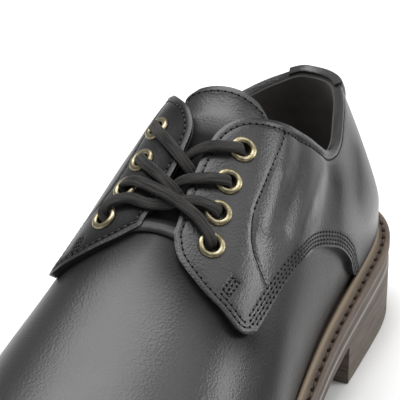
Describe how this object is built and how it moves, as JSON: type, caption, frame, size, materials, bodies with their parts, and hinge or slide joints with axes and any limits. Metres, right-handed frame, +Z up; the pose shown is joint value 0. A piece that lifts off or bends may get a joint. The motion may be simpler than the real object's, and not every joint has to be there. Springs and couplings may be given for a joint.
{
  "type": "lace-up derby shoe",
  "caption": "Left lace-up derby shoe: hollow black leather upper with open lacing flaps, tongue, brass eyelets, stitched welt with a raised lip, and stacked leather heel.",
  "frame": {"origin": "floor under the middle of the shoe's bounding box", "axes": "+X towards the toe, +Y towards the wearer's left, which is the outer side of this left shoe, +Z up"},
  "size_m": [0.3035, 0.1065, 0.1186],
  "materials": {
    "upper": "smooth black calf with a soft satin sheen",
    "quarter": "smooth black calf with a soft satin sheen",
    "backstay": "smooth black calf",
    "tongue": "smooth black calf",
    "insole": "dark brown leather, matt",
    "welt": "brown leather strip, burnished edge",
    "midsole": "brown leather, burnished edge",
    "outsole": "dark brown sole leather",
    "heel": "stacked brown leather lifts, burnished",
    "top_piece": "black rubber, matt",
    "eyelet": "antique brass, satin",
    "lace": "waxed woven cotton, charcoal"
  },
  "bodies": {
    "root": {"upper": "upper", "quarter_lateral": "quarter", "quarter_medial": "quarter", "backstay": "backstay", "tongue": "tongue", "insole": "insole", "welt": "welt", "midsole": "midsole", "outsole": "outsole", "heel": "heel", "heel_top_piece": "top_piece", "eyelet_lateral_1": "eyelet", "eyelet_lateral_2": "eyelet", "eyelet_lateral_3": "eyelet", "eyelet_lateral_4": "eyelet", "eyelet_medial_1": "eyelet", "eyelet_medial_2": "eyelet", "eyelet_medial_3": "eyelet", "eyelet_medial_4": "eyelet", "lace_crossing_low": "lace", "lace_crossing_middle": "lace", "lace_crossing_top": "lace"}
  },
  "joints": []
}
